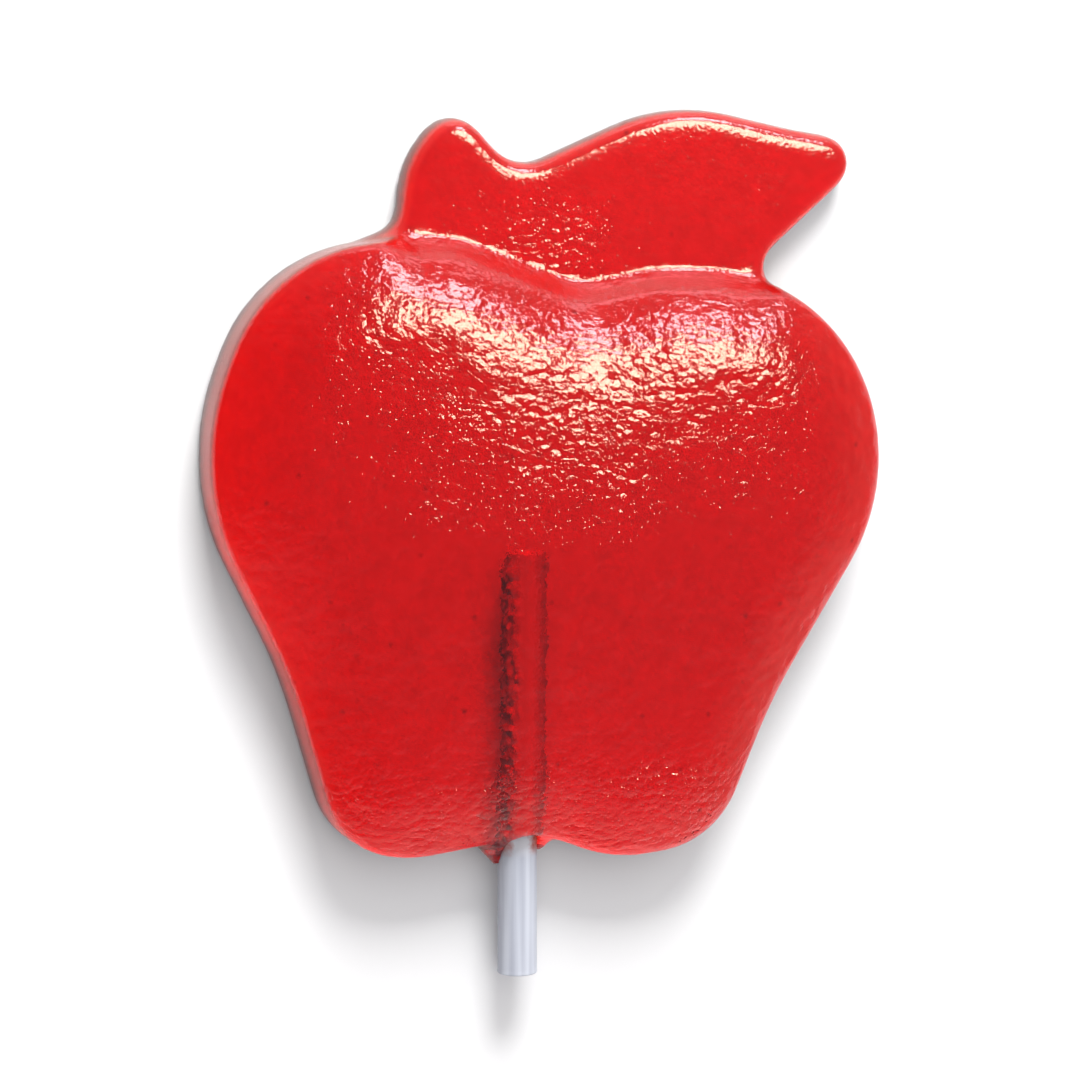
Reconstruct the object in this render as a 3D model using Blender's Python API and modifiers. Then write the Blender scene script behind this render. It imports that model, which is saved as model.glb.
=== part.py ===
"""Apple-shaped hard candy lollipop, poured in a flat mould, on a rolled paper stick.

It lies on its flat back, face up: X to the right, Y towards the leaf, Z up.
The origin is on the back, near the middle of the apple. Lengths are in
millimetres until an object is made, where MM turns them into metres.
"""

import math

import bmesh
import bpy
from mathutils import Matrix, Vector

MM = 0.001

# Heights above the flat back
WALL_HEIGHT = 5.0      # upright side of the apple
EDGE_RADIUS = 0.8      # rounded edge where the side meets the dome
PLATE_HEIGHT = 3.2     # stem and leaf
PLATE_EDGE = 1.3       # rounded edge of stem and leaf
CROWN_RISE = 1.5       # swell of the middle of the dome

# Dome of the apple, measured inwards from its outline
DOME_RUN = 9.0         # width of the curved shoulder
DOME_RUN_LOW = 7.5     # the same round the two tight lobes by the stick
RUN_CHANGE = (-25.0, -8.0)     # y, from the low run to the full one
SHOULDER_SLOPE = 0.65  # rise over run just inside the edge
CROWN_SLOPE = 0.15     # rise over run where the shoulder meets the middle
STEP_SLOPE = 1.2       # face that climbs from the leaf to the dome
STEP_RUN = 2.0
STEP_ROOT = 0.5        # part of the same face that is sunk in stem and leaf
STEP_TOP_SLOPE = 0.85
STEP_LEFT = (-17.5, -12.5)     # x, where the upright side turns into the step
STEP_RIGHT = (22.0, 28.0)      # x, where it turns back
STEP_LOW = 15.0                # y, no step below it
CROWN_CENTRE = (1.0, 1.0)
CROWN_RADIUS = 20.0    # roundness that the rings ease into towards the middle

# Paper stick and the collar of candy round it
STICK_DIAMETER = 4.0
STICK_AXIS = (-2.1, 3.0)       # x, z
STICK_TOP = -0.8               # end inside the candy
STICK_END = -44.3              # free end
STICK_EDGE = 0.12
GAP = 0.3
BORE_OVERRUN = 2.0             # how far the bore's cutter passes the collar
SPARE_DEPTH = 1.0              # candy below the back until it is trimmed flat
COLLAR_ROOT = -29.0
COLLAR_TIP = -33.2
COLLAR_ROOT_RADIUS = 5.6
COLLAR_TIP_RADIUS = 1.9
COLLAR_OFFSET = -0.5           # the collar is fuller on the left
COLLAR_FLATNESS = 0.62         # its height over its width
SCOOP_RADIUS = 5.0             # hollow that bares the stick's upper side
SCOOP_CENTRE = (-1.7, -34.5, 7.0)

OUTLINE_STEP = 1.45            # longest chord along an outline
SHOULDER_RINGS = 7
CROWN_RINGS = 6
EDGE_RINGS = 3
PLATE_EDGE_SEGMENTS = 3
STICK_SIDES = 48
COLLAR_SIDES = 40

# Outlines, anticlockwise, as arcs joined by their common tangents:
# centre x, centre y, radius. A minus sign marks a hollow arc.
APPLE_ARCS = (
    (17.4, 6.9, 19.7),      # right cheek
    (13.5, 13.9, 12.8),     # right shoulder
    (5.3, 33.6, -8.0),      # dip under the stem
    (-11.9, 14.3, 16.1),    # top of the left shoulder
    (-16.4, 13.3, 16.7),    # left shoulder
    (-10.3, 9.1, 23.9),     # left cheek
    (-74.1, -30.4, -50.8),  # left waist
    (-14.5, -22.4, 8.7),    # left lobe, outer side
    (-13.3, -19.6, 11.6),   # left lobe, underside
    (-1.3, -38.2, -8.2),    # notch at the stick
    (10.1, -17.5, 15.3),    # right lobe, underside
    (12.3, -22.9, 9.7),     # right lobe, outer side
    (73.2, -43.0, -54.2),   # right waist
)
PLATE_ARCS = (
    (27.0, 18.5, 4.5),      # root of the leaf, inside the apple
    (27.3, 26.7, -2.2),     # corner between leaf and apple
    (31.8, 37.2, 2.9),      # tip of the leaf
    (31.2, 54.6, -14.2),    # hollow before the tip
    (16.8, 22.0, 20.7),     # back of the leaf
    (-0.7, 42.1, -4.6),     # notch between stem and leaf
    (-8.3, 38.6, 3.4),      # end of the stem
    (-4.8, 34.1, 9.0),      # left side of the stem
    (-16.3, 33.1, -2.3),    # corner between stem and apple
    (-20.5, 25.0, 3.9),     # root of the stem, inside the apple
)

# Linear colour, roughness
CANDY_RED = (0.60, 0.012, 0.016, 1.0)
CANDY_ROUGHNESS = 0.12
PAPER_WHITE = (0.66, 0.67, 0.74, 1.0)
PAPER_ROUGHNESS = 0.65


def clear_scene():
    for obj in list(bpy.data.objects):
        bpy.data.objects.remove(obj, do_unlink=True)


def new_collection(name):
    collection = bpy.data.collections.new(name)
    bpy.context.scene.collection.children.link(collection)
    return collection


def new_material(name, color, roughness, transmission=0.0):
    material = bpy.data.materials.new(name)
    material.use_nodes = True
    shader = material.node_tree.nodes["Principled BSDF"]
    shader.inputs["Base Color"].default_value = color
    shader.inputs["Roughness"].default_value = roughness
    shader.inputs["Transmission Weight"].default_value = transmission
    return material


def new_object(name, mesh, collection, material=None):
    obj = bpy.data.objects.new(name, mesh)
    collection.objects.link(obj)
    if material:
        mesh.materials.append(material)
    return obj


def bmesh_to_mesh(bm, name):
    """Turn a millimetre bmesh into a mesh in metres with outward faces."""
    bmesh.ops.scale(bm, vec=(MM, MM, MM), verts=bm.verts)
    bmesh.ops.recalc_face_normals(bm, faces=bm.faces)
    mesh = bpy.data.meshes.new(name)
    bm.to_mesh(mesh)
    bm.free()
    return mesh


def tangent_normal(arc, following):
    """Outward normal of the line that touches two neighbouring arcs."""
    along = Vector(following[:2]) - Vector(arc[:2])
    lean = (arc[2] - following[2]) / along.length
    along.normalize()
    across = Vector((along.y, -along.x))
    return along * lean + across * math.sqrt(1.0 - lean * lean)


def outline(arcs, step):
    """Points and outward normals round a closed chain of tangent arcs."""
    count = len(arcs)
    normals = [tangent_normal(arcs[i], arcs[(i + 1) % count]) for i in range(count)]
    samples = []
    for i, (x, y, radius) in enumerate(arcs):
        start = normals[i - 1]
        turn = start.angle_signed(normals[i]) * -1.0
        pieces = max(1, math.ceil(abs(turn * radius) / step))
        for k in range(pieces + 1):
            normal = start.copy()
            normal.rotate(Matrix.Rotation(turn * k / pieces, 2))
            samples.append((Vector((x, y)) + normal * radius, normal))
        following = arcs[(i + 1) % count]
        meeting = Vector(following[:2]) + normals[i] * following[2]
        run = meeting - samples[-1][0]
        pieces = math.ceil(run.length / step)
        leaving = samples[-1][0]
        for k in range(1, pieces):
            samples.append((leaving + run * k / pieces, normals[i].copy()))
    return samples


def smoothstep(low, high, value):
    t = min(max((value - low) / (high - low), 0.0), 1.0)
    return t * t * (3.0 - 2.0 * t)


def easing_slope(start, first, last, run, x):
    """Height where the slope eases evenly from first to last over run."""
    return start + first * x - (first - last) * x * x / (2.0 * run)


def side_profile(run):
    """Depth inwards and height of each ring over the apple's upright side."""
    lean = math.atan(SHOULDER_SLOPE)
    sweep = math.pi / 2 - lean
    profile = [(0.0, 0.0)]
    for k in range(EDGE_RINGS):
        angle = sweep * k / (EDGE_RINGS - 1)
        depth = EDGE_RADIUS * (1.0 - math.cos(angle))
        profile.append((depth, WALL_HEIGHT + EDGE_RADIUS * math.sin(angle)))
    depth, height = profile[-1]
    for k in range(1, SHOULDER_RINGS + 1):
        x = (run - depth) * k / SHOULDER_RINGS
        rise = easing_slope(height, SHOULDER_SLOPE, CROWN_SLOPE, run - depth, x)
        profile.append((depth + x, rise))
    return profile


def step_profile(run):
    """The same rings where the dome climbs out of the stem and leaf."""
    profile = [(-STEP_ROOT, 0.0)]
    for k in range(EDGE_RINGS):
        depth = -STEP_ROOT + (STEP_RUN + STEP_ROOT) * k / (EDGE_RINGS - 1)
        profile.append((depth, PLATE_HEIGHT + STEP_SLOPE * depth))
    depth, height = profile[-1]
    for k in range(1, SHOULDER_RINGS + 1):
        x = (run - depth) * k / SHOULDER_RINGS
        rise = easing_slope(height, STEP_TOP_SLOPE, CROWN_SLOPE, run - depth, x)
        profile.append((depth + x, rise))
    return profile


def step_share(point):
    """1 along the foot of the step, 0 round the free sides of the apple."""
    if point.y < STEP_LOW:
        return 0.0
    return smoothstep(*STEP_LEFT, point.x) * (1.0 - smoothstep(*STEP_RIGHT, point.x))


def apple_rings():
    """Rings from the back up over the side and dome, ending near the middle."""
    samples = outline(APPLE_ARCS, OUTLINE_STEP)
    columns = []
    for point, normal in samples:
        widening = smoothstep(*RUN_CHANGE, point.y)
        run = DOME_RUN_LOW + (DOME_RUN - DOME_RUN_LOW) * widening
        share = step_share(point)
        column = []
        for side, step in zip(side_profile(run), step_profile(run)):
            depth = side[0] + (step[0] - side[0]) * share
            height = side[1] + (step[1] - side[1]) * share
            inner = point - normal * depth
            column.append(Vector((inner.x, inner.y, height)))
        columns.append(column)
    rings = [list(ring) for ring in zip(*columns)]
    for v in rings[0]:
        v.z = -2.0 * SPARE_DEPTH
    edge = rings[-1]
    mean = sum(v.z for v in edge) / len(edge)
    for k in range(1, CROWN_RINGS):
        share = 1.0 - k / CROWN_RINGS
        ring = []
        for v in edge:
            out = Vector((v.x - CROWN_CENTRE[0], v.y - CROWN_CENTRE[1]))
            reach = out.length * share + CROWN_RADIUS * (1.0 - share)
            out = out.normalized() * reach * share
            z = mean + (v.z - mean) * share + CROWN_RISE * (1.0 - share * share)
            ring.append(Vector((CROWN_CENTRE[0] + out.x, CROWN_CENTRE[1] + out.y, z)))
        rings.append(ring)
    return rings, Vector((*CROWN_CENTRE, mean + CROWN_RISE))


def make_apple(collection, material):
    """The apple's body: rings of unlike outline lofted over a flat back."""
    rings, middle = apple_rings()
    bm = bmesh.new()
    loops = [[bm.verts.new(v) for v in ring] for ring in rings]
    count = len(loops[0])
    bm.faces.new(loops[0])
    for lower, upper in zip(loops, loops[1:]):
        for i in range(count):
            j = (i + 1) % count
            bm.faces.new((lower[i], lower[j], upper[j], upper[i]))
    peak = bm.verts.new(middle)
    for i in range(count):
        bm.faces.new((loops[-1][i], loops[-1][(i + 1) % count], peak))
    bmesh.ops.remove_doubles(bm, verts=bm.verts, dist=0.01)
    return new_object("candy", bmesh_to_mesh(bm, "candy"), collection, material)


def make_plate(collection):
    """Stem and leaf: one flat outline with its upper edge rounded over."""
    curve = bpy.data.curves.new("stem_and_leaf", "CURVE")
    curve.dimensions = "2D"
    curve.fill_mode = "BOTH"
    curve.extrude = PLATE_HEIGHT / 2
    samples = outline(PLATE_ARCS, OUTLINE_STEP)
    spline = curve.splines.new("POLY")
    spline.points.add(len(samples) - 1)
    for slot, (point, _) in zip(spline.points, samples):
        slot.co = (point.x, point.y, 0.0, 1.0)
    spline.use_cyclic_u = True
    drawn = bpy.data.objects.new("stem_and_leaf_outline", curve)
    collection.objects.link(drawn)
    bpy.context.view_layer.update()
    depsgraph = bpy.context.evaluated_depsgraph_get()
    mesh = bpy.data.meshes.new_from_object(drawn.evaluated_get(depsgraph))
    bpy.data.objects.remove(drawn)

    bm = bmesh.new()
    bm.from_mesh(mesh)
    bpy.data.meshes.remove(mesh)
    bmesh.ops.remove_doubles(bm, verts=bm.verts, dist=0.02)
    bmesh.ops.translate(bm, verts=bm.verts, vec=(0.0, 0.0, PLATE_HEIGHT / 2))
    for v in bm.verts:
        if v.co.z < PLATE_HEIGHT / 2:
            v.co.z = -SPARE_DEPTH
    flat = [e for e in bm.edges if len(e.link_faces) == 2 and e.calc_face_angle() < 0.01]
    bmesh.ops.dissolve_edges(bm, edges=flat, use_verts=False)
    rim = [
        e for e in bm.edges
        if all(v.co.z > PLATE_HEIGHT * 0.9 for v in e.verts) and e.calc_face_angle() > 1.0
    ]
    bmesh.ops.bevel(
        bm, geom=rim, offset=PLATE_EDGE, segments=PLATE_EDGE_SEGMENTS,
        profile=0.5, affect="EDGES", clamp_overlap=True,
    )
    return new_object("stem_and_leaf", bmesh_to_mesh(bm, "stem_and_leaf"), collection)


def make_rod(name, radius, far_radius, start, end, collection, sides=STICK_SIDES):
    """A round bar along the stick's axis, from start down to end in Y."""
    bm = bmesh.new()
    bmesh.ops.create_cone(
        bm, cap_ends=True, segments=sides, radius1=radius, radius2=far_radius,
        depth=start - end,
    )
    turn = Matrix.Rotation(math.radians(90.0), 4, "X")
    middle = Matrix.Translation((STICK_AXIS[0], (start + end) / 2, STICK_AXIS[1]))
    bmesh.ops.transform(bm, matrix=middle @ turn, verts=bm.verts)
    return new_object(name, bmesh_to_mesh(bm, name), collection)


def make_collar(parts, cutters):
    """Candy that crept along the stick: a flat cone, hollowed over the stick."""
    collar = make_rod(
        "collar", COLLAR_ROOT_RADIUS, COLLAR_TIP_RADIUS, COLLAR_ROOT, COLLAR_TIP, parts,
        COLLAR_SIDES,
    )
    axis_height = STICK_AXIS[1] * MM
    for v in collar.data.vertices:
        v.co.x += COLLAR_OFFSET * MM
        v.co.z = axis_height + (v.co.z - axis_height) * COLLAR_FLATNESS
    bm = bmesh.new()
    bmesh.ops.create_uvsphere(
        bm, u_segments=COLLAR_SIDES, v_segments=COLLAR_SIDES // 2, radius=SCOOP_RADIUS,
    )
    bmesh.ops.translate(bm, verts=bm.verts, vec=SCOOP_CENTRE)
    scoop = new_object("scoop_cutter", bmesh_to_mesh(bm, "scoop_cutter"), cutters)
    combine(collar, scoop, "DIFFERENCE")
    return collar


def combine(target, other, operation):
    """Join or cut with a Boolean, apply it and remove the other object."""
    other.hide_render = True
    other.display_type = "WIRE"
    modifier = target.modifiers.new(operation.lower(), "BOOLEAN")
    modifier.operation = operation
    modifier.object = other
    modifier.solver = "EXACT"
    bpy.context.view_layer.update()
    depsgraph = bpy.context.evaluated_depsgraph_get()
    mesh = bpy.data.meshes.new_from_object(target.evaluated_get(depsgraph))
    target.modifiers.remove(modifier)
    mesh.name = target.name
    target.data = mesh
    bpy.data.objects.remove(other, do_unlink=True)


def trim_back(obj):
    """Slice off what reaches below the back and close it with one flat face."""
    bm = bmesh.new()
    bm.from_mesh(obj.data)
    cut = bmesh.ops.bisect_plane(
        bm, geom=bm.verts[:] + bm.edges[:] + bm.faces[:], dist=1e-7,
        plane_co=(0.0, 0.0, 0.0), plane_no=(0.0, 0.0, -1.0), clear_outer=True,
    )
    rim = [g for g in cut["geom_cut"] if isinstance(g, bmesh.types.BMEdge)]
    bmesh.ops.edgeloop_fill(bm, edges=rim)
    bmesh.ops.recalc_face_normals(bm, faces=bm.faces)
    bm.to_mesh(obj.data)
    bm.free()


def smooth(obj, degrees):
    obj.data.shade_smooth()
    obj.data.set_sharp_from_angle(angle=math.radians(degrees))


def make_candy(parts, cutters):
    red = new_material("red_hard_candy", CANDY_RED, CANDY_ROUGHNESS, 0.6)
    candy = make_apple(parts, red)
    combine(candy, make_plate(parts), "UNION")
    combine(candy, make_collar(parts, cutters), "UNION")
    trim_back(candy)
    bore = STICK_DIAMETER / 2 + GAP
    combine(
        candy,
        make_rod(
            "bore_cutter", bore, bore, STICK_TOP + GAP, COLLAR_TIP - BORE_OVERRUN, cutters,
        ),
        "DIFFERENCE",
    )
    smooth(candy, 35.0)
    return candy


def make_stick(parts):
    paper = new_material("rolled_white_paper", PAPER_WHITE, PAPER_ROUGHNESS)
    radius = STICK_DIAMETER / 2
    stick = make_rod("stick", radius, radius, STICK_TOP, STICK_END, parts)
    stick.data.materials.append(paper)
    bevel = stick.modifiers.new("cut ends", "BEVEL")
    bevel.width = STICK_EDGE * MM
    bevel.segments = 2
    bevel.limit_method = "ANGLE"
    bevel.angle_limit = math.radians(60.0)
    smooth(stick, 35.0)
    return stick


def main():
    clear_scene()
    parts = new_collection("apple_lollipop")
    cutters = new_collection("cutters")
    make_candy(parts, cutters)
    make_stick(parts)


main()
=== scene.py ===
import math

import bpy
import numpy as np
from mathutils import Matrix, Vector
from mathutils.kdtree import KDTree


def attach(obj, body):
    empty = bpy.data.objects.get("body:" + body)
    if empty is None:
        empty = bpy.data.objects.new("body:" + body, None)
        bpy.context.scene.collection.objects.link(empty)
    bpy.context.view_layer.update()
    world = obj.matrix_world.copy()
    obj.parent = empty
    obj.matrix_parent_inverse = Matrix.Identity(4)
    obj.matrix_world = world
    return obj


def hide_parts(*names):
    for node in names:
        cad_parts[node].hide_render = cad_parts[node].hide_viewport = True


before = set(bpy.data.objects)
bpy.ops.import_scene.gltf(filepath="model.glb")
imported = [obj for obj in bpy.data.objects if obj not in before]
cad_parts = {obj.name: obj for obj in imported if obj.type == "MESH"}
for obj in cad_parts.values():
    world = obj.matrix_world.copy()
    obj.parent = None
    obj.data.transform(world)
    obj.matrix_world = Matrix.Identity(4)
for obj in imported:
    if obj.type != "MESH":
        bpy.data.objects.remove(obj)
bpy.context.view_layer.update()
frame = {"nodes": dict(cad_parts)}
scene = bpy.context.scene
mm = 0.001
print("frame loaded:", ", ".join(frame["nodes"]))


def hexColour(code):
    # sRGB hex to the linear values that shaders take
    values = [int(code[i:i + 2], 16) / 255 for i in (0, 2, 4)]
    linear = [v / 12.92 if v <= 0.04045 else ((v + 0.055) / 1.055) ** 2.4 for v in values]
    return (*linear, 1.0)


def pick(piece):
    # only this piece is selected and active
    bpy.ops.object.select_all(action="DESELECT")
    piece.select_set(True)
    bpy.context.view_layer.objects.active = piece


def applied(piece, kind, **settings):
    pick(piece)
    modifier = piece.modifiers.new(kind.lower(), kind)
    for name, value in settings.items():
        setattr(modifier, name, value)
    bpy.ops.object.modifier_apply(modifier=modifier.name)


def pointsAndNormals(mesh):
    arrays = []
    for source, what in ((mesh.vertices, "co"), (mesh.vertex_normals, "vector")):
        values = np.empty(len(mesh.vertices) * 3, np.float32)
        source.foreach_get(what, values)
        arrays.append(values.reshape(-1, 3).astype(float))
    return arrays


def ease(low, high, value):
    # 0 below low, 1 above high, smooth between them
    t = np.clip((value - low) / (high - low), 0.0, 1.0)
    return t * t * (3.0 - 2.0 * t)


def belt(value, rise, fall):
    # up over the first range and down again over the second
    return ease(*rise, value) * (1 - ease(*fall, value))


def nearness(points, chosen, full, none):
    # 1 within full of the chosen points, easing to 0 at none
    tree = KDTree(int(chosen.sum()))
    for i, point in enumerate(points[chosen]):
        tree.insert(point, i)
    tree.balance()
    away = np.array([tree.find(point)[2] for point in points])
    return 1 - ease(full, none, away)


def addWeights(piece, name, weights):
    # vertex group from an array, in 20 even steps
    group = piece.vertex_groups.new(name=name)
    steps = np.round(weights * 20).astype(int)
    for step in range(1, 21):
        chosen = np.nonzero(steps == step)[0].tolist()
        if chosen:
            group.add(chosen, step / 20, "REPLACE")


def reliefBy(piece, name, size, height, group, level):
    # pushes the surface in and out by soft clouds of this size
    texture = bpy.data.textures.new(name, "CLOUDS")
    texture.noise_scale = size
    texture.noise_depth = 1
    applied(
        piece, "DISPLACE", texture=texture, texture_coords="LOCAL", mid_level=level,
        strength=height, vertex_group=group,
    )


def addNode(tree, kind, settings=None, links=None):
    # a node with its values, and links as {its input: (node, its output)}
    node = tree.nodes.new(kind)
    for name, value in (settings or {}).items():
        if isinstance(name, int) or name in node.inputs:
            node.inputs[name].default_value = value
        else:
            setattr(node, name, value)
    for name, (source, output) in (links or {}).items():
        tree.links.new(source.outputs[output], node.inputs[name])
    return node


# the next ones each add one node and return (node, output), ready to link

def attribute(tree, name):
    return addNode(tree, "ShaderNodeAttribute", {"attribute_name": name}), "Fac"


def noise(tree, place, size, detail, roughness=0.5):
    settings = {"Scale": 1 / size, "Detail": detail, "Roughness": roughness}
    return addNode(tree, "ShaderNodeTexNoise", settings, {"Vector": place}), "Fac"


def cells(tree, place, size):
    return addNode(tree, "ShaderNodeTexVoronoi", {"Scale": 1 / size}, {"Vector": place}), "Distance"


def ranged(tree, value, low, high, toLow=0.0, toHigh=1.0, smooth=False):
    settings = {"From Min": low, "From Max": high, "To Min": toLow, "To Max": toHigh}
    settings["interpolation_type"] = "SMOOTHSTEP" if smooth else "LINEAR"
    return addNode(tree, "ShaderNodeMapRange", settings, {"Value": value}), "Result"


def times(tree, one, two):
    return addNode(tree, "ShaderNodeMath", {"operation": "MULTIPLY"}, {0: one, 1: two}), "Value"


def raised(tree, height, distance, under=None, invert=False):
    links = {"Height": height}
    if under:
        links["Normal"] = under
    settings = {"Strength": 1.0, "Distance": distance, "invert": invert}
    return addNode(tree, "ShaderNodeBump", settings, links), "Normal"


def toned(tree, amount, under, over):
    # over on top of under; under is a hex colour or another node's output
    settings = {"data_type": "RGBA", 7: hexColour(over)}
    links = {0: amount}
    if isinstance(under, str):
        settings[6] = hexColour(under)
    else:
        links[6] = under
    return addNode(tree, "ShaderNodeMix", settings, links), 2


def newMaterial(name):
    material = bpy.data.materials.new(name)
    material.use_nodes = True
    material.node_tree.nodes.clear()
    return material, material.node_tree


candyShape = {
    "voxel": 0.285 * mm,
    "firstRounds": 4,          # smoothing everywhere
    "smoothRounds": 18,        # and away from the sharp crease above the apple
    "leafRounds": 45,          # softer edges on stem and leaf
    "backCut": 0.12 * mm,      # the back is cut flat here and set down to the table
    "backTilt": 0.95,
    "backHeight": 0.05 * mm,
    "swellSize": 2.6 * mm,     # slow waves of the poured face
    "swellHeight": 0.12 * mm,
    "pebbleSize": 0.95 * mm,   # pebbles left by the mould
    "pebbleHeight": 0.08 * mm,
    "faceTilt": (0.68, 0.84),  # upward part of the normal over which that relief comes in
    "plateRelief": 0.25,       # share of it on stem and leaf
    # bore for the stick
    "stickX": -2.1 * mm,
    "stickZ": 3.0 * mm,
    "boreReach": 2.9 * mm,     # the bore's wall is closer to the stick's axis than this
    "boreCore": 2.0 * mm,
    "boreFacing": -0.2,
    "boreBelow": 0.1 * mm,
    "boreAbove": -36 * mm,
    "boreKeep": 0.78,          # the candy closes on the stick
    "boreTop": -1.1 * mm,
    # stem and leaf: a thin plate with the apple rising from it at a crease
    "plateEdge": (3.5 * mm, 4.2 * mm),
    "leafHeight": (1.0 * mm, 1.8 * mm),
    "rimTilt": 0.3,
    "rimBelow": 2.2 * mm,
    "rimAbove": 24 * mm,
    "rimReach": (2.4 * mm, 4.0 * mm),
    "creaseHeight": (3.3 * mm, 3.7 * mm),
    "creaseTilt": (0.5, 0.85),
    "creaseLean": 0.2,
    "creaseAbove": 18 * mm,
    "creaseReach": (0.6 * mm, 1.8 * mm),
    # where the skin is rough
    "grainTilt": (0.70, 0.88),
    "plateGrain": 0.25,        # stem and leaf are smoother than the apple
    "patchGrain": 1.2,         # but for a rough patch beside the apple
    "patchX": -0.5 * mm,
    "patchY": 29.0 * mm,
    "patchWide": 12.0 * mm,
    "patchTall": 7.0 * mm,
    "patchEdge": (0.1, 1.2),
    "leanTilt": (0.22, 0.45),  # smoother on the slope that faces +X
    "leanLoss": 0.7,
    "calmRise": (-24 * mm, -15 * mm),  # a smoother belt across the lower half
    "calmFall": (-5 * mm, 4 * mm),
    "calmLoss": 0.6,
    "busyRise": (-2 * mm, 4 * mm),     # and a rougher field in the middle
    "busyFall": (13 * mm, 18 * mm),
    "busyLeft": (-18 * mm, -11 * mm),
    "busyRight": (6 * mm, 13 * mm),
    "busyGain": 0.6,
    "tail": (-26 * mm, -20 * mm),      # and at the lower end
    "tailGain": 1.6,
    "creaseGrain": 1.0,
    "creaseGrainReach": (0.2 * mm, 0.7 * mm),
    # where colour is painted in: a brown tone on the walls, shade at the foot, lighter shoulders
    # and lower end
    "wallTilt": (0.25, 0.6),
    "foot": (0.8 * mm, 3.4 * mm),      # painted shade where the wall meets the back
    "shoulderTilt": (0.82, 0.97),
    # painted light: the candy is tinted lighter from here down to its lower end
    "paintedLightEnd": (-29 * mm, -8 * mm),
}


def closeBore(piece, s):
    # the bore's wall is drawn in under the paper's surface, so that candy and stick touch
    points, normals = pointsAndNormals(piece.data)
    out = points[:, [0, 2]] - (s["stickX"], s["stickZ"])
    away = np.hypot(out[:, 0], out[:, 1])
    facing = (normals[:, [0, 2]] * out).sum(1) / np.maximum(away, 1e-9)
    wall = (away < s["boreReach"]) & (points[:, 1] < s["boreBelow"])
    wall &= (points[:, 1] > s["boreAbove"])
    wall &= (facing < s["boreFacing"]) | (away < s["boreCore"])
    points[wall, 0] = s["stickX"] + out[wall, 0] * s["boreKeep"]
    points[wall, 2] = s["stickZ"] + out[wall, 1] * s["boreKeep"]
    points[wall, 1] = np.minimum(points[wall, 1], s["boreTop"])
    piece.data.vertices.foreach_set("co", points.astype(np.float32).ravel())
    piece.data.update()


def nearCrease(piece, s, full, none):
    # the line where the apple rises from the plate of stem and leaf
    points, normals = pointsAndNormals(piece.data)
    low, high = s["creaseHeight"]
    flat, steep = s["creaseTilt"]
    crease = (points[:, 2] > low) & (points[:, 2] < high) & (points[:, 1] > s["creaseAbove"])
    crease &= (normals[:, 2] > flat) & (normals[:, 2] < steep)
    crease &= normals[:, 1] > s["creaseLean"]
    return nearness(points, crease, full, none)


def storeMasks(piece, s):
    # the masks that the material reads
    points, normals = pointsAndNormals(piece.data)
    x, y, z = points.T
    patch = np.hypot((x - s["patchX"]) / s["patchWide"], (y - s["patchY"]) / s["patchTall"])
    inPatch = 1 - ease(*s["patchEdge"], patch)
    plateGrain = s["plateGrain"] + (s["patchGrain"] - s["plateGrain"]) * inPatch
    onPlate = 1 - ease(*s["plateEdge"], z)
    calm = belt(y, s["calmRise"], s["calmFall"])
    busy = belt(y, s["busyRise"], s["busyFall"]) * belt(x, s["busyLeft"], s["busyRight"])
    tail = 1 - ease(*s["tail"], y)
    grain = ease(*s["grainTilt"], normals[:, 2]) * (1 + (plateGrain - 1) * onPlate)
    grain *= 1 - s["leanLoss"] * ease(*s["leanTilt"], normals[:, 0])
    grain *= 1 - s["calmLoss"] * calm
    grain *= 1 + s["busyGain"] * busy + s["tailGain"] * tail
    crease = s["creaseGrain"] * nearCrease(piece, s, *s["creaseGrainReach"])
    shoulder = 1 - ease(*s["shoulderTilt"], normals[:, 2])
    back = np.array([
        face.normal.z < -s["backTilt"] and face.center.z < s["backHeight"]
        for face in piece.data.polygons
    ])
    print("candy faces: %d, back: %d" % (len(back), back.sum()))
    for name, place, values in (
        ("grain", "POINT", np.maximum(grain, crease)),
        ("upright", "POINT", 1 - ease(*s["wallTilt"], np.abs(normals[:, 2]))),
        # masks for the painted shade at the foot and the painted light on the shoulders and lower
        # end
        ("foot", "POINT", 1 - ease(*s["foot"], z)),
        ("shoulder", "POINT", np.maximum(shoulder, 1 - ease(*s["paintedLightEnd"], y))),
        ("skin", "FACE", 1.0 - back),
    ):
        store = piece.data.attributes.new(name, "FLOAT", place)
        store.data.foreach_set("value", values.astype(np.float32))


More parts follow.
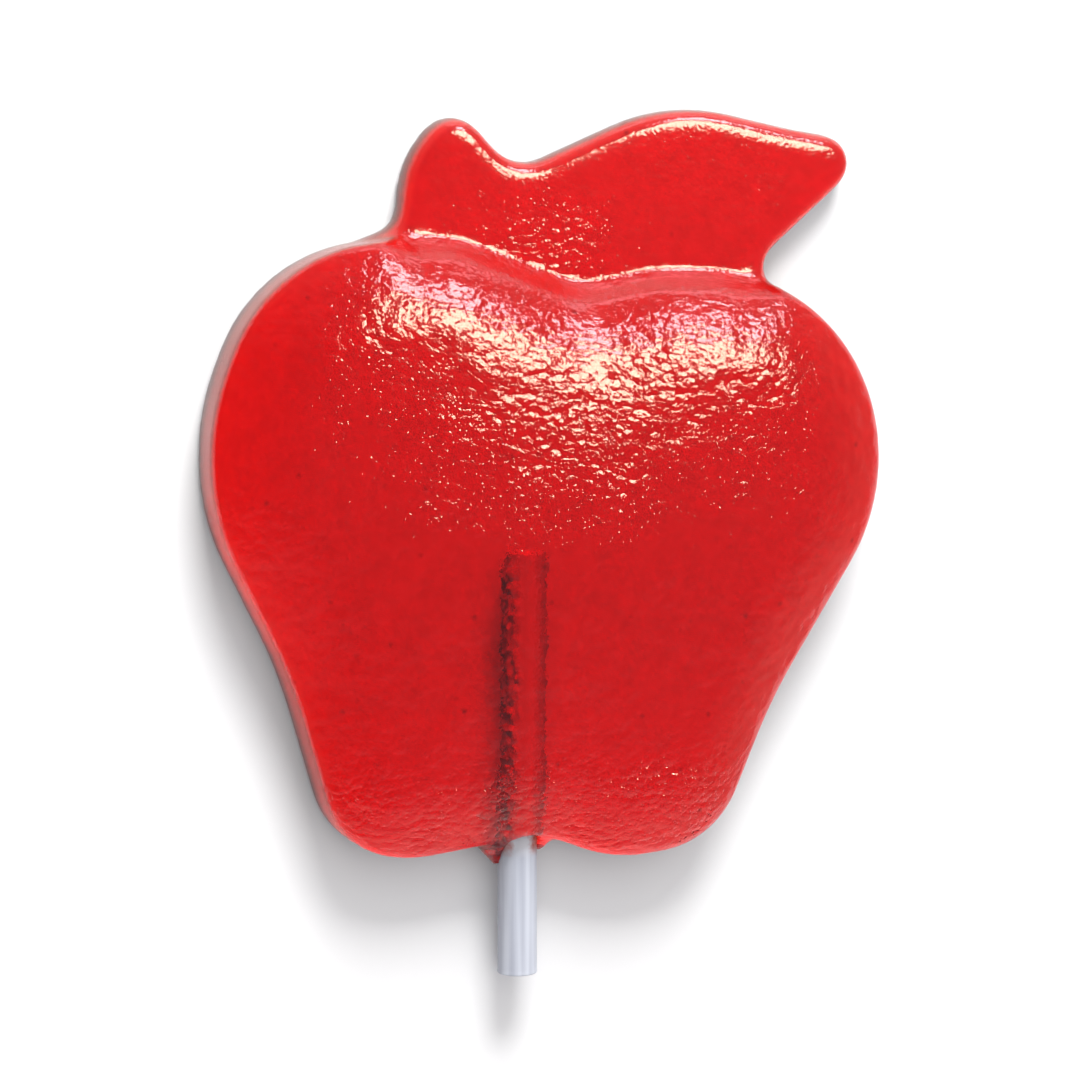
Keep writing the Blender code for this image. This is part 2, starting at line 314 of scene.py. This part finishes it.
def makeCandy(s):
    # apple, stem, leaf and collar in one piece
    source = frame["nodes"]["candy"]
    piece = bpy.data.objects.new("candyBody", source.data.copy())
    scene.collection.objects.link(piece)
    piece.data.materials.clear()
    pick(piece)
    bpy.ops.object.mode_set(mode="EDIT")
    bpy.ops.mesh.select_all(action="SELECT")
    bpy.ops.mesh.remove_doubles(threshold=0.001 * mm)
    bpy.ops.object.mode_set(mode="OBJECT")
    applied(piece, "REMESH", mode="VOXEL", voxel_size=s["voxel"])
    applied(piece, "SMOOTH", factor=0.5, iterations=s["firstRounds"])
    addWeights(piece, "offCrease", 1 - nearCrease(piece, s, *s["creaseReach"]))
    applied(
        piece, "SMOOTH", factor=0.5, iterations=s["smoothRounds"], vertex_group="offCrease",
    )
    closeBore(piece, s)

    points, normals = pointsAndNormals(piece.data)
    x, y, z = points.T
    onPlate = 1 - ease(*s["plateEdge"], z)
    rim = (np.abs(normals[:, 2]) < s["rimTilt"]) & (z < s["rimBelow"]) & (y > s["rimAbove"])
    leafTop = onPlate * ease(*s["leafHeight"], z) * nearness(points, rim, *s["rimReach"])
    addWeights(piece, "leafTop", leafTop)
    applied(piece, "SMOOTH", factor=0.5, iterations=s["leafRounds"], vertex_group="leafTop")
    face = ease(*s["faceTilt"], normals[:, 2]) * (1 - (1 - s["plateRelief"]) * onPlate)
    addWeights(piece, "face", face)
    print("candy face: %d points" % len(points))
    for name in ("swell", "pebble"):
        reliefBy(piece, name, s[name + "Size"], s[name + "Height"], "face", 0.5)

    pick(piece)
    bpy.ops.object.mode_set(mode="EDIT")
    bpy.ops.mesh.select_all(action="SELECT")
    bpy.ops.mesh.bisect(
        plane_co=(0, 0, s["backCut"]), plane_no=(0, 0, 1), use_fill=True, clear_inner=True,
        threshold=0.0001 * mm,
    )
    bpy.ops.transform.translate(value=(0, 0, -s["backCut"]))
    bpy.ops.object.mode_set(mode="OBJECT")
    piece.vertex_groups.clear()
    storeMasks(piece, s)
    bpy.ops.object.shade_smooth_by_angle(angle=math.radians(50))
    return piece


candyLook = {
    "body": "E75E66",
    "cloudy": "DB5858",       # faint clouds of cooler sugar
    "clouds": 2.4 * mm,
    "cloudEdge": (0.4, 0.62),
    "paintedLightTone": "FF6C64",         # painted light: the rounded shoulders and the lower end are tinted lighter, standing in for the brighter light seen through them
    "wall": "C86C56",         # side walls get a dull brown tone and are less clear: a painted stand-in for the greyed reflection of the floor in them
    "wallClear": 0.8,
    # painted shade at the foot of the wall: a dark tone, less clear there
    "footClear": 0.4,
    "foot": "54403A",
    "speck": "8A4C46",        # scorched sugar grains
    "speckSpacing": 3.8 * mm,
    "speckSize": 0.42 * mm,
    "speckCore": 0.1,
    "roughness": 0.13,
    "sideRoughness": 0.22,
    "backRoughness": 0.3,
    "ior": 1.54,
    "absorbColour": (0.9905, 0.0, 0.0, 1.0),
    "absorbDensity": 800.0,
    "pebble": 0.74 * mm,
    "pebbleStretch": (0.65, 1.0, 1.0),
    "pebbleHeight": 0.066 * mm,
    "patches": 6.0 * mm,      # pebbles stand higher in some patches
    "patchEdge": (0.35, 0.65),
    "patchRange": (0.6, 1.2),
    "crinkle": 0.5 * mm,
    "crinkleHeight": 0.04 * mm,
    "pit": 0.55 * mm,
    "pitEdge": 0.38,
    "pitDepth": 0.03 * mm,
    "fine": 0.35 * mm,
    "fineHeight": 0.015 * mm,
}


def candyRelief(tree, place, s):
    # domes, crinkles and pits as rough as the skin is there, then a fine tooth all over
    grain = attribute(tree, "grain")
    patches = noise(tree, place, s["patches"], 0.0)
    rough = times(tree, ranged(tree, patches, *s["patchEdge"], *s["patchRange"]), grain)
    wide = addNode(tree, "ShaderNodeMapping", {"Scale": s["pebbleStretch"]}, {"Vector": place})
    domes = cells(tree, (wide, "Vector"), s["pebble"])
    squared = addNode(tree, "ShaderNodeMath", {"operation": "POWER", 1: 2.0}, {0: domes})
    pebbles = raised(
        tree, times(tree, (squared, "Value"), rough), s["pebbleHeight"], invert=True,
    )
    crinkle = noise(tree, place, s["crinkle"], 1.0)
    wavy = raised(tree, times(tree, crinkle, rough), s["crinkleHeight"], pebbles)
    pits = ranged(tree, cells(tree, place, s["pit"]), 0.0, s["pitEdge"], smooth=True)
    pitted = raised(tree, times(tree, pits, grain), s["pitDepth"], wavy)
    return raised(tree, noise(tree, place, s["fine"], 0.0), s["fineHeight"], pitted)


def candyMaterial(s):
    # boiled sugar glass, poured hot: clear, deep red by its depth, glossy with a pebbled skin
    material, tree = newMaterial("boiledSugarGlass")
    place = (addNode(tree, "ShaderNodeTexCoord"), "Object")
    skin = attribute(tree, "skin")
    upright = attribute(tree, "upright")
    onWall = times(tree, upright, skin)
    onFootShade = times(tree, attribute(tree, "foot"), skin)
    onPaintedLight = times(tree, attribute(tree, "shoulder"), skin)
    speck = s["speckSize"] / s["speckSpacing"]
    scorched = ranged(
        tree, cells(tree, place, s["speckSpacing"]), speck, s["speckCore"] * speck,
    )
    clouds = noise(tree, place, s["clouds"], 1.0, 0.6)
    tone = toned(tree, ranged(tree, clouds, *s["cloudEdge"]), s["body"], s["cloudy"])
    # paints lighter shoulders and lower end, a brown tone on the walls in place of their
    # reflection, shade at the foot, and scorched specks
    for amount, colour in (
        (onPaintedLight, "paintedLightTone"), (onWall, "wall"), (onFootShade, "foot"),
        (times(tree, scorched, skin), "speck"),
    ):
        tone = toned(tree, amount, tone, s[colour])
    clearness = addNode(
        tree, "ShaderNodeMapRange", {"To Max": s["footClear"]},
        {"Value": onFootShade, "To Min": ranged(tree, onWall, 0.0, 1.0, 1.0, s["wallClear"])},
    )
    front = ranged(tree, upright, 0.0, 1.0, s["roughness"], s["sideRoughness"])
    gloss = addNode(
        tree, "ShaderNodeMapRange", {"To Min": s["backRoughness"]},
        {"Value": skin, "To Max": front},
    )
    glass = addNode(
        tree, "ShaderNodeBsdfPrincipled", {"IOR": s["ior"]},
        {
            "Normal": candyRelief(tree, place, s), "Roughness": (gloss, "Result"),
            "Base Color": tone, "Transmission Weight": (clearness, "Result"),
        },
    )
    # lamps reach the table through the back, and the skin still throws a shadow beside the candy
    clear = addNode(tree, "ShaderNodeBsdfTransparent")
    path = addNode(tree, "ShaderNodeLightPath")
    side = addNode(tree, "ShaderNodeNewGeometry")
    inner = addNode(tree, "ShaderNodeMath", {"operation": "SUBTRACT", 0: 1.0}, {1: skin})
    passable = addNode(
        tree, "ShaderNodeMath", {"operation": "MAXIMUM"},
        {0: (inner, "Value"), 1: (side, "Backfacing")},
    )
    passing = times(tree, (path, "Is Shadow Ray"), (passable, "Value"))
    mix = addNode(
        tree, "ShaderNodeMixShader", {}, {0: passing, 1: (glass, "BSDF"), 2: (clear, "BSDF")},
    )
    depth = addNode(
        tree, "ShaderNodeVolumeAbsorption",
        {"Color": s["absorbColour"], "Density": s["absorbDensity"]},
    )
    addNode(
        tree, "ShaderNodeOutputMaterial", {},
        {"Surface": (mix, "Shader"), "Volume": (depth, "Volume")},
    )
    return material


candy = makeCandy(candyShape)
candy.data.materials.append(candyMaterial(candyLook))
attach(candy, "root")
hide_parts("candy")
print("candy made")


stickShape = {
    "sides": 96,
    "radius": 2.0 * mm,
    "x": -2.1 * mm,
    "z": 3.0 * mm,
    "top": -0.8 * mm,
    "end": -44.3 * mm,
    "edge": 0.1 * mm,
    "lip": 0.3 * mm,          # the cutter pressed the end slightly wider
    "lipRows": (3.0, 1.0),
    "lipReach": 0.7,
    "lipGrow": 1.02,
    "layer": 0.3 * mm,        # rolled layers, seen on the end
    "layerStep": 0.05 * mm,
    "layers": 5,
    "hollow": 0.8 * mm,       # depth of the small hole in the middle
    "rows": 110,
    "swollen": (-31.5 * mm, -29.5 * mm),  # paper inside the candy has swollen
    "swollenTop": (-2.6 * mm, -1.2 * mm),
    "leftFlank": (0.3, 0.9),
    "rightFlank": (0.4, 0.9),
    "rightShare": 0.35,
    "lumpSize": 0.55 * mm,
    "lumpHeight": 1.3 * mm,
    "lumpLevel": 0.22,
}


def makeStick(s):
    # tightly rolled paper
    bpy.ops.mesh.primitive_cylinder_add(
        vertices=s["sides"], radius=s["radius"], depth=s["top"] - s["end"],
        location=(s["x"], (s["top"] + s["end"]) / 2, s["z"]), rotation=(math.radians(90), 0, 0),
    )
    piece = bpy.context.active_object
    piece.name = "paperStick"
    pick(piece)
    bpy.ops.object.transform_apply(location=True, rotation=True, scale=True)
    applied(
        piece, "BEVEL", width=s["edge"], segments=3, limit_method="ANGLE",
        angle_limit=math.radians(60),
    )

    # rows along the stick, and two more where the end spreads
    bpy.ops.object.mode_set(mode="EDIT")
    bpy.ops.mesh.select_mode(type="EDGE")
    bpy.ops.mesh.select_all(action="DESELECT")
    bpy.ops.object.mode_set(mode="OBJECT")
    along = pointsAndNormals(piece.data)[0][:, 1]
    for edge in piece.data.edges:
        one, two = edge.vertices
        edge.select = bool(abs(along[one] - along[two]) > s["radius"])
    bpy.ops.object.mode_set(mode="EDIT")
    bpy.ops.mesh.subdivide(number_cuts=s["rows"])
    for row in s["lipRows"]:
        bpy.ops.mesh.select_all(action="SELECT")
        bpy.ops.mesh.bisect(
            plane_co=(0, s["end"] + row * s["lip"], 0), plane_no=(0, 1, 0),
            threshold=0.0001 * mm,
        )
    bpy.ops.mesh.select_all(action="DESELECT")
    bpy.ops.object.mode_set(mode="OBJECT")
    for point in piece.data.vertices:
        point.select = point.co.y < s["end"] + s["lipReach"] * s["lip"]
    for face in piece.data.polygons:
        face.select = all(piece.data.vertices[i].select for i in face.vertices)
    bpy.ops.object.mode_set(mode="EDIT")
    bpy.ops.transform.resize(
        value=(s["lipGrow"], 1, s["lipGrow"]), center_override=(s["x"], s["end"], s["z"]),
    )

    # layers and hole on the cut end
    bpy.ops.mesh.select_all(action="DESELECT")
    bpy.ops.object.mode_set(mode="OBJECT")
    for face in piece.data.polygons:
        face.select = face.normal.y < -0.99 and len(face.vertices) > 20
    bpy.ops.object.mode_set(mode="EDIT")
    bpy.ops.mesh.select_mode(type="FACE")
    for layer in range(s["layers"]):
        for wide, deep in ((0.6, 0.0), (0.2, -1.0), (0.2, 0.6)):
            bpy.ops.mesh.inset(thickness=wide * s["layer"], depth=deep * s["layerStep"])
    bpy.ops.mesh.extrude_region_move(TRANSFORM_OT_translate={"value": (0, s["hollow"], 0)})
    bpy.ops.mesh.select_all(action="SELECT")
    bpy.ops.mesh.normals_make_consistent(inside=False)
    bpy.ops.object.mode_set(mode="OBJECT")

    # rough swollen flanks inside the candy
    points, normals = pointsAndNormals(piece.data)
    swollen = belt(points[:, 1], s["swollen"], s["swollenTop"])
    flank = ease(*s["leftFlank"], -normals[:, 0])
    flank += s["rightShare"] * ease(*s["rightFlank"], normals[:, 0])
    addWeights(piece, "swollen", swollen * flank)
    reliefBy(piece, "lumps", s["lumpSize"], s["lumpHeight"], "swollen", s["lumpLevel"])
    piece.vertex_groups.clear()
    bpy.ops.object.shade_smooth_by_angle(angle=math.radians(50))
    print("stick faces:", len(piece.data.polygons))
    return piece


stickLook = {
    "paper": "C6CAD4",
    "shade": "B0B4C0",        # streaks along the roll
    "streakAcross": 0.8 * mm,
    "streakAlong": 30 * mm,
    "streakEdge": (0.4, 0.65),
    "paintedLightInside": "CFCFD5",       # painted light: paper inside the candy gets a lighter tone than outside, standing in for more light on it
    "paintedFlankShade": "B04E40",       # painted shade: the flanks inside the candy are darkened red-brown, standing in for the dark lines along the stick's sides
    "roughness": 0.5,
    "letThrough": 0.92,       # paper inside the candy lets some light through
    "fibre": 0.25 * mm,
    "fibreHeight": 0.006 * mm,
    "axisX": -2.35 * mm,      # the painted flank shade is measured from here, so it reaches nearer the axis on the side that faces +X
    "flank": (0.65 * mm, 1.6 * mm),  # distance from the axis where the painted flank shade starts
    "shadeBlot": 0.9 * mm,
    "shadeRag": 2.4 * mm,
    "candyEdge": (-32.1 * mm, -30.9 * mm),
}


def stickMaterial(s):
    # tightly rolled uncoated paper: matte white with a fine fibre tooth
    material, tree = newMaterial("rolledPaper")
    place = (addNode(tree, "ShaderNodeTexCoord"), "Object")
    bump = raised(tree, noise(tree, place, s["fibre"], 3.0), s["fibreHeight"])
    across, along = 1 / s["streakAcross"], 1 / s["streakAlong"]
    drawn = addNode(
        tree, "ShaderNodeMapping", {"Scale": (across, along, across)}, {"Vector": place},
    )
    streaks = noise(tree, (drawn, "Vector"), 1.0, 2.0)
    dry = toned(tree, ranged(tree, streaks, *s["streakEdge"]), s["paper"], s["shade"])

    # painted shade on the two flanks inside the candy, with a ragged edge
    split = addNode(tree, "ShaderNodeSeparateXYZ", {}, {0: place})
    offAxis = addNode(
        tree, "ShaderNodeMath", {"operation": "SUBTRACT", 1: s["axisX"]}, {0: (split, "X")},
    )
    flank = addNode(tree, "ShaderNodeMath", {"operation": "ABSOLUTE"}, {0: (offAxis, "Value")})
    ragged = addNode(
        tree, "ShaderNodeMath",
        {"operation": "MULTIPLY_ADD", 1: s["shadeRag"], 2: -s["shadeRag"] / 2},
        {0: noise(tree, place, s["shadeBlot"], 3.0, 0.65)},
    )
    reach = addNode(
        tree, "ShaderNodeMath", {"operation": "ADD"}, {0: (flank, "Value"), 1: (ragged, "Value")},
    )
    within = ranged(tree, (split, "Y"), *s["candyEdge"])
    paintedLightInside = toned(tree, within, dry, s["paintedLightInside"])
    flankShadeMask = times(tree, ranged(tree, (reach, "Value"), *s["flank"]), within)
    paper = addNode(
        tree, "ShaderNodeBsdfPrincipled", {"Roughness": s["roughness"]},
        {"Base Color": toned(tree, flankShadeMask, paintedLightInside, s["paintedFlankShade"]), "Normal": bump},
    )
    clear = addNode(tree, "ShaderNodeBsdfTransparent")
    path = addNode(tree, "ShaderNodeLightPath")
    share = addNode(
        tree, "ShaderNodeMath", {"operation": "MULTIPLY", 1: s["letThrough"]}, {0: within},
    )
    passing = times(tree, (path, "Is Shadow Ray"), (share, "Value"))
    mix = addNode(
        tree, "ShaderNodeMixShader", {}, {0: passing, 1: (paper, "BSDF"), 2: (clear, "BSDF")},
    )
    addNode(tree, "ShaderNodeOutputMaterial", {}, {"Surface": (mix, "Shader")})
    return material


stick = makeStick(stickShape)
stick.data.materials.append(stickMaterial(stickLook))
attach(stick, "root")
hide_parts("stick")
print("stick made")


studio = {
    "floorSize": 4.0,
    "floor": "F4F4F4",
    "floorDrop": 0.05 * mm,
    "skyTop": (0.31, 0.30, 0.35, 1.0),
    "skyRim": (0.46, 0.44, 0.41, 1.0),
    "skyFull": 0.9,           # height at which the top colour is reached
    "skyAhead": 0.8,          # extra light low on the side that faces +Y
    "aheadRange": (0.3, 1.0),
    "skyBehind": 1.8,         # and on the side that faces -Y
    "behindRange": (-0.3, -1.0),
    "skyLeft": 0.5,           # share of light left on the side that faces -X
    "leftRange": (-1.0, 0.5),
    "glints": (
        # name, towards, distance, width, height, power, colour: only seen in the gloss
        ("creamSoftbox", (0.42, 0.41, 0.81), 0.6, 0.23, 0.18, 3.1, (1.0, 0.90, 0.66)),
        ("coolWindow", (0.42, 0.72, 0.53), 0.6, 0.18, 0.16, 1.45, (0.96, 0.95, 1.0)),
        ("lowStrip", (0.32, 0.94, 0.11), 0.6, 0.45, 0.07, 0.35, (1.0, 0.76, 0.84)),
    ),
    "fills": (
        # the same for the light on table, paper and inside the candy
        ("mainWindow", (0.06, 0.90, 0.43), 0.7, 0.35, 0.30, 8.4, (1.0, 1.0, 1.0)),
        ("ceiling", (0.05, 0.3, 1.0), 1.2, 2.0, 2.0, 10.2, (1.0, 1.0, 0.95)),
    ),
    "cameraAt": (-0.120, 0.044, 0.320),
    "cameraAim": (0.0, 0.0, 0.004),
    "lens": 113.6,
}


def makeFloor(s):
    bpy.ops.mesh.primitive_plane_add(size=s["floorSize"], location=(0, 0, -s["floorDrop"]))
    floor = bpy.context.active_object
    floor.name = "paleFloor"
    pick(floor)
    bpy.ops.object.transform_apply(location=True, rotation=True, scale=True)
    # smooth matte board: evenly pale, with no shine of its own
    material, tree = newMaterial("matteFloor")
    matte = addNode(
        tree, "ShaderNodeBsdfPrincipled",
        {"Base Color": hexColour(s["floor"]), "Roughness": 1.0, "Specular IOR Level": 0.0},
    )
    addNode(tree, "ShaderNodeOutputMaterial", {}, {"Surface": (matte, "BSDF")})
    floor.data.materials.append(material)


def makeSky(s):
    world = bpy.data.worlds.new("softRoom")
    world.use_nodes = True
    tree = world.node_tree
    tree.nodes.clear()
    place = (addNode(tree, "ShaderNodeTexCoord"), "Generated")
    split = addNode(tree, "ShaderNodeSeparateXYZ", {}, {0: place})
    ramp = addNode(tree, "ShaderNodeValToRGB", {}, {0: (split, "Z")})
    ramp.color_ramp.interpolation = "EASE"
    for stop, position, colour in zip(
        ramp.color_ramp.elements, (0.0, s["skyFull"]), (s["skyRim"], s["skyTop"]),
    ):
        stop.position = position
        stop.color = colour
    ahead = ranged(tree, (split, "Y"), *s["aheadRange"], 0.0, s["skyAhead"])
    behind = ranged(tree, (split, "Y"), *s["behindRange"], 0.0, s["skyBehind"])
    ends = addNode(tree, "ShaderNodeMath", {"operation": "ADD"}, {0: ahead, 1: behind})
    lift = addNode(tree, "ShaderNodeMath", {"operation": "ADD", 1: 1.0}, {0: (ends, "Value")})
    sides = ranged(tree, (split, "X"), *s["leftRange"], s["skyLeft"], 1.0)
    strength = times(tree, (lift, "Value"), sides)
    sky = addNode(
        tree, "ShaderNodeBackground", {}, {"Color": (ramp, "Color"), "Strength": strength},
    )
    addNode(tree, "ShaderNodeOutputWorld", {}, {"Surface": (sky, "Background")})
    scene.world = world


def makeLamp(name, towards, distance, width, height, power, colour, glint):
    lamp = bpy.data.lights.new(name, "AREA")
    lamp.shape = "RECTANGLE"
    lamp.size, lamp.size_y = width, height
    lamp.energy = power
    lamp.color = colour
    holder = bpy.data.objects.new(name, lamp)
    scene.collection.objects.link(holder)
    aim = Vector(towards).normalized()
    holder.location = aim * distance
    holder.rotation_euler = aim.to_track_quat("Z", "Y").to_euler()
    holder.visible_transmission = False
    if glint:
        holder.visible_diffuse = False
    else:
        holder.visible_glossy = False
        lamp.cycles.use_multiple_importance_sampling = False


def makeCamera(s):
    view = bpy.data.cameras.new("camera")
    view.lens = s["lens"]
    view.sensor_width = 36
    view.clip_start, view.clip_end = 0.01, 10
    camera = bpy.data.objects.new("camera", view)
    scene.collection.objects.link(camera)
    ahead = (Vector(s["cameraAim"]) - Vector(s["cameraAt"])).normalized()
    right = ahead.cross(Vector((0, 1, 0))).normalized()
    turn = Matrix((right, right.cross(ahead), -ahead)).transposed()
    camera.matrix_world = Matrix.Translation(s["cameraAt"]) @ turn.to_4x4()
    scene.camera = camera


makeFloor(studio)
makeSky(studio)
for lampValues in studio["glints"]:
    makeLamp(*lampValues, glint=True)
for lampValues in studio["fills"]:
    makeLamp(*lampValues, glint=False)
makeCamera(studio)
scene.view_settings.view_transform = "Standard"
scene.cycles.caustics_reflective = False
scene.cycles.caustics_refractive = False
scene.cycles.diffuse_bounces = 3
scene.cycles.transmission_bounces = 10
scene.cycles.max_bounces = 12
scene.cycles.transparent_max_bounces = 10
print("studio made")
